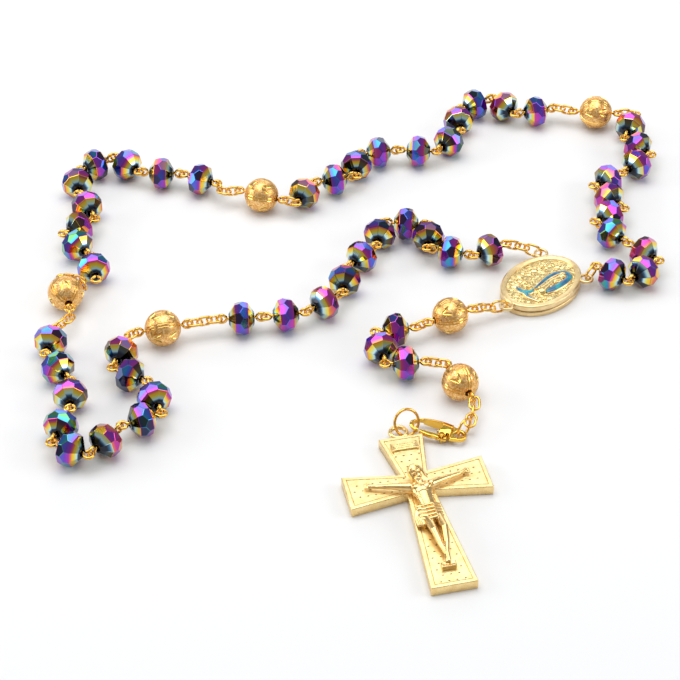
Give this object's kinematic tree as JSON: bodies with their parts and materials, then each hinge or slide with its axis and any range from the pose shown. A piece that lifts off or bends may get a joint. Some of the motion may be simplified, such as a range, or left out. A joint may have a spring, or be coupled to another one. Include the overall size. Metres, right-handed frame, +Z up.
{
  "type": "rosary",
  "caption": "Rosary laid out flat: an oval medal, strands of faceted glass beads on eye-pins and chain, and a clasp that carries a crucifix.",
  "frame": {"origin": "middle of the medal's flat back, on the surface that the rosary lies on", "axes": "+Z up from the table, +Y away from the crucifix towards the far end of the loop, +X to the medal's side of the loop"},
  "size_m": [0.1502, 0.1747, 0.0084],
  "materials": {
    "iris_glass": "opaque black faceted glass with a blue, violet and bronze metallic coat",
    "stardust_gold": "satin diamond-brushed gold plate with polished engraved lines",
    "chain_gold": "polished gold plate",
    "medal_gold": "pale gold plate, smooth rim and hammered field with inlaid blue enamel",
    "crucifix_gold": "pale gold plate, cast, with a dotted and lined face",
    "spring_steel": "bright drawn spring wire"
  },
  "bodies": {
    "medal": {"medal_front": "medal_gold", "medal_back": "medal_gold"},
    "decade_5_a": {"medal_link_right": "chain_gold", "decade_5_a": "iris_glass"},
    "decade_5_b": {"decade_5_b": "iris_glass"},
    "decade_5_c": {"decade_5_c": "iris_glass"},
    "pater_4": {"chain_5": "chain_gold", "pater_4_pin": "chain_gold"},
    "pater_4_bead": {"pater_4_bead": "stardust_gold"},
    "decade_4_a": {"chain_4": "chain_gold", "decade_4_a": "iris_glass"},
    "decade_4_b": {"decade_4_b": "iris_glass"},
    "decade_4_c": {"decade_4_c": "iris_glass"},
    "pater_3": {"chain_3_long": "chain_gold", "pater_3_pin": "chain_gold"},
    "pater_3_bead": {"pater_3_bead": "stardust_gold"},
    "decade_3_a": {"chain_3": "chain_gold", "decade_3_a": "iris_glass"},
    "decade_3_b": {"decade_3_b": "iris_glass"},
    "decade_3_c": {"decade_3_c": "iris_glass"},
    "decade_1_a": {"medal_link_left": "chain_gold", "chain_medal_left": "chain_gold", "decade_1_a": "iris_glass"},
    "decade_1_b": {"decade_1_b": "iris_glass"},
    "decade_1_c": {"decade_1_c": "iris_glass"},
    "pater_1": {"chain_1": "chain_gold", "pater_1_pin": "chain_gold"},
    "pater_1_bead": {"pater_1_bead": "stardust_gold"},
    "decade_2_a": {"chain_2": "chain_gold", "decade_2_a": "iris_glass"},
    "decade_2_b": {"decade_2_b": "iris_glass"},
    "decade_2_c": {"decade_2_c": "iris_glass"},
    "pater_2": {"chain_2_long": "chain_gold", "pater_2_pin": "chain_gold", "chain_end": "chain_gold"},
    "pater_2_bead": {"pater_2_bead": "stardust_gold"},
    "pendant_pater_1": {"medal_link_pendant": "chain_gold", "chain_medal_pendant": "chain_gold", "pendant_pater_1_pin": "chain_gold"},
    "pendant_pater_1_bead": {"pendant_pater_1_bead": "stardust_gold"},
    "pendant_ave_1": {"chain_pendant_1": "chain_gold", "pendant_ave_1_pin": "chain_gold"},
    "pendant_ave_1_bead": {"pendant_ave_1_bead": "iris_glass"},
    "pendant_ave_2": {"pendant_ave_2_pin": "chain_gold"},
    "pendant_ave_2_bead": {"pendant_ave_2_bead": "iris_glass"},
    "pendant_ave_3": {"pendant_ave_3_pin": "chain_gold"},
    "pendant_ave_3_bead": {"pendant_ave_3_bead": "iris_glass"},
    "pendant_pater_2": {"chain_pendant_2": "chain_gold", "pendant_pater_2_pin": "chain_gold"},
    "pendant_pater_2_bead": {"pendant_pater_2_bead": "stardust_gold"},
    "chain_pendant_3": {"chain_pendant_3": "chain_gold"},
    "tail_ring": {"tail_ring": "chain_gold"},
    "clasp": {"clasp_body": "chain_gold", "clasp_rivet": "chain_gold", "clasp_spring": "spring_steel"},
    "clasp_lever": {"clasp_lever": "chain_gold"},
    "crucifix_ring": {"crucifix_ring": "chain_gold"},
    "crucifix": {"cross": "crucifix_gold", "figure": "crucifix_gold", "title_plaque": "crucifix_gold"}
  },
  "joints": [
    {"name": "decade_5_a_swing", "type": "hinge", "parent": "medal", "child": "decade_5_a", "pos_m": [0.0108, 0.00113, 0.0027], "axis": [0, 0, -1], "range_deg": [0, 8]},
    {"name": "decade_5_b_swing", "type": "hinge", "parent": "decade_5_a", "child": "decade_5_b", "pos_m": [0.02193, 0.01279, 0.0042], "axis": [0, 0, -1], "range_deg": [0, 8]},
    {"name": "decade_5_c_swing", "type": "hinge", "parent": "decade_5_b", "child": "decade_5_c", "pos_m": [0.02313, 0.04142, 0.0042], "axis": [0, 0, -1], "range_deg": [0, 8]},
    {"name": "pater_4_swing", "type": "hinge", "parent": "decade_5_c", "child": "pater_4", "pos_m": [0.02918, 0.06724, 0.0042], "axis": [0, 0, -1], "range_deg": [0, 8]},
    {"name": "pater_4_bead_spin", "type": "hinge", "parent": "pater_4", "child": "pater_4_bead", "pos_m": [0.01887, 0.06815, 0.0042], "axis": [-0.9962, 0.0872, 0], "continuous": true},
    {"name": "decade_4_a_swing", "type": "hinge", "parent": "pater_4", "child": "decade_4_a", "pos_m": [0.0131, 0.06866, 0.0042], "axis": [0, 0, -1], "range_deg": [0, 8]},
    {"name": "decade_4_b_swing", "type": "hinge", "parent": "decade_4_a", "child": "decade_4_b", "pos_m": [-0.01735, 0.06922, 0.0042], "axis": [0, 0, -1], "range_deg": [0, 10]},
    {"name": "decade_4_c_swing", "type": "hinge", "parent": "decade_4_b", "child": "decade_4_c", "pos_m": [-0.04348, 0.04954, 0.0042], "axis": [0, 0, -1], "range_deg": [0, 10]},
    {"name": "pater_3_swing", "type": "hinge", "parent": "decade_4_c", "child": "pater_3", "pos_m": [-0.05838, 0.02905, 0.0042], "axis": [0, 0, -1], "range_deg": [0, 10]},
    {"name": "pater_3_bead_spin", "type": "hinge", "parent": "pater_3", "child": "pater_3_bead", "pos_m": [-0.06702, 0.03219, 0.0042], "axis": [-0.9397, 0.342, 0], "continuous": true},
    {"name": "decade_3_a_swing", "type": "hinge", "parent": "pater_3", "child": "decade_3_a", "pos_m": [-0.07247, 0.03418, 0.0042], "axis": [0, 0, -1], "range_deg": [0, 10]},
    {"name": "decade_3_b_swing", "type": "hinge", "parent": "decade_3_a", "child": "decade_3_b", "pos_m": [-0.10454, 0.04856, 0.0042], "axis": [0, 0, -1], "range_deg": [-10, 0]},
    {"name": "decade_3_c_swing", "type": "hinge", "parent": "decade_3_b", "child": "decade_3_c", "pos_m": [-0.10747, 0.02263, 0.0042], "axis": [0, 0, -1], "range_deg": [-20, 0]},
    {"name": "decade_1_a_swing", "type": "hinge", "parent": "medal", "child": "decade_1_a", "pos_m": [0.00076, 0.01084, 0.0027], "axis": [0, 0, 1], "range_deg": [0, 3]},
    {"name": "decade_1_b_swing", "type": "hinge", "parent": "decade_1_a", "child": "decade_1_b", "pos_m": [-0.02661, 0.0111, 0.0042], "axis": [0, 0, 1], "range_deg": [0, 3]},
    {"name": "decade_1_c_swing", "type": "hinge", "parent": "decade_1_b", "child": "decade_1_c", "pos_m": [-0.04609, 0.00347, 0.0042], "axis": [0, 0, 1], "range_deg": [0, 4]},
    {"name": "pater_1_swing", "type": "hinge", "parent": "decade_1_c", "child": "pater_1", "pos_m": [-0.07604, -0.01562, 0.0042], "axis": [0, 0, 1], "range_deg": [0, 6]},
    {"name": "pater_1_bead_spin", "type": "hinge", "parent": "pater_1", "child": "pater_1_bead", "pos_m": [-0.08833, -0.0188, 0.0042], "axis": [-0.9659, -0.2588, 0], "continuous": true},
    {"name": "decade_2_a_swing", "type": "hinge", "parent": "pater_1", "child": "decade_2_a", "pos_m": [-0.095, -0.02059, 0.0042], "axis": [0, 0, 1], "range_deg": [0, 8]},
    {"name": "decade_2_b_swing", "type": "hinge", "parent": "decade_2_a", "child": "decade_2_b", "pos_m": [-0.08685, -0.04783, 0.0042], "axis": [0, 0, 1], "range_deg": [0, 8]},
    {"name": "decade_2_c_swing", "type": "hinge", "parent": "decade_2_b", "child": "decade_2_c", "pos_m": [-0.10712, -0.04616, 0.0042], "axis": [0, 0, 1], "range_deg": [0, 8]},
    {"name": "pater_2_swing", "type": "hinge", "parent": "decade_2_c", "child": "pater_2", "pos_m": [-0.11286, -0.0186, 0.0042], "axis": [0, 0, 1], "range_deg": [0, 8]},
    {"name": "pater_2_bead_spin", "type": "hinge", "parent": "pater_2", "child": "pater_2_bead", "pos_m": [-0.11187, -0.00596, 0.0042], "axis": [-0.2588, 0.9659, 0], "continuous": true},
    {"name": "pendant_pater_1_swing", "type": "hinge", "parent": "medal", "child": "pendant_pater_1", "pos_m": [-0.00865, -0.00896, 0.0027], "axis": [0, 0, 1], "range_deg": [-4, 10]},
    {"name": "pendant_pater_1_bead_spin", "type": "hinge", "parent": "pendant_pater_1", "child": "pendant_pater_1_bead", "pos_m": [-0.02208, -0.01427, 0.0042], "axis": [-0.9063, -0.4226, 0], "continuous": true},
    {"name": "pendant_ave_1_swing", "type": "hinge", "parent": "pendant_pater_1", "child": "pendant_ave_1", "pos_m": [-0.02734, -0.01673, 0.0042], "axis": [0, 0, 1], "range_deg": [-6, 10]},
    {"name": "pendant_ave_1_bead_spin", "type": "hinge", "parent": "pendant_ave_1", "child": "pendant_ave_1_bead", "pos_m": [-0.03482, -0.01922, 0.004], "axis": [-0.9848, -0.1736, 0], "continuous": true},
    {"name": "pendant_ave_2_swing", "type": "hinge", "parent": "pendant_ave_1", "child": "pendant_ave_2", "pos_m": [-0.03935, -0.02002, 0.0042], "axis": [0, 0, 1], "range_deg": [-12, 0]},
    {"name": "pendant_ave_2_bead_spin", "type": "hinge", "parent": "pendant_ave_2", "child": "pendant_ave_2_bead", "pos_m": [-0.03836, -0.02564, 0.004], "axis": [0.1736, -0.9848, 0], "continuous": true},
    {"name": "pendant_ave_3_swing", "type": "hinge", "parent": "pendant_ave_2", "child": "pendant_ave_3", "pos_m": [-0.03737, -0.03125, 0.0042], "axis": [0, 0, 1], "range_deg": [-10, 6]},
    {"name": "pendant_ave_3_bead_spin", "type": "hinge", "parent": "pendant_ave_3", "child": "pendant_ave_3_bead", "pos_m": [-0.03278, -0.03085, 0.004], "axis": [0.9962, 0.0872, 0], "continuous": true},
    {"name": "pendant_pater_2_swing", "type": "hinge", "parent": "pendant_ave_3", "child": "pendant_pater_2", "pos_m": [-0.0282, -0.03045, 0.0042], "axis": [0, 0, 1], "range_deg": [-8, 8]},
    {"name": "pendant_pater_2_bead_spin", "type": "hinge", "parent": "pendant_pater_2", "child": "pendant_pater_2_bead", "pos_m": [-0.02075, -0.0375, 0.0042], "axis": [0.4226, -0.9063, 0], "continuous": true},
    {"name": "chain_pendant_3_swing", "type": "hinge", "parent": "pendant_pater_2", "child": "chain_pendant_3", "pos_m": [-0.01784, -0.04375, 0.0042], "axis": [0, 0, 1], "range_deg": [-8, 8]},
    {"name": "tail_ring_swing", "type": "hinge", "parent": "chain_pendant_3", "child": "tail_ring", "pos_m": [-0.01899, -0.04919, 0.00265], "axis": [0, 0, 1], "range_deg": [-8, 8]},
    {"name": "clasp_swing", "type": "hinge", "parent": "tail_ring", "child": "clasp", "pos_m": [-0.02151, -0.05221, 0.00145], "axis": [0, 0, 1], "range_deg": [-10, 10]},
    {"name": "clasp_lever_pivot", "type": "hinge", "parent": "clasp", "child": "clasp_lever", "pos_m": [-0.02541, -0.05292, 0.00156], "axis": [-0.0298, 0.0109, -0.9995], "range_deg": [0, 14], "stiffness_Nm_per_rad": 0.002, "springref_deg": -5.73},
    {"name": "crucifix_ring_swing", "type": "hinge", "parent": "clasp", "child": "crucifix_ring", "pos_m": [-0.03039, -0.04897, 0.00175], "axis": [0, 0, 1], "range_deg": [-10, 4]},
    {"name": "crucifix_lift", "type": "hinge", "parent": "crucifix_ring", "child": "crucifix", "pos_m": [-0.03479, -0.05151, 0.00175], "axis": [-0.9744, -0.225, 0], "range_deg": [0, 25]}
  ]
}
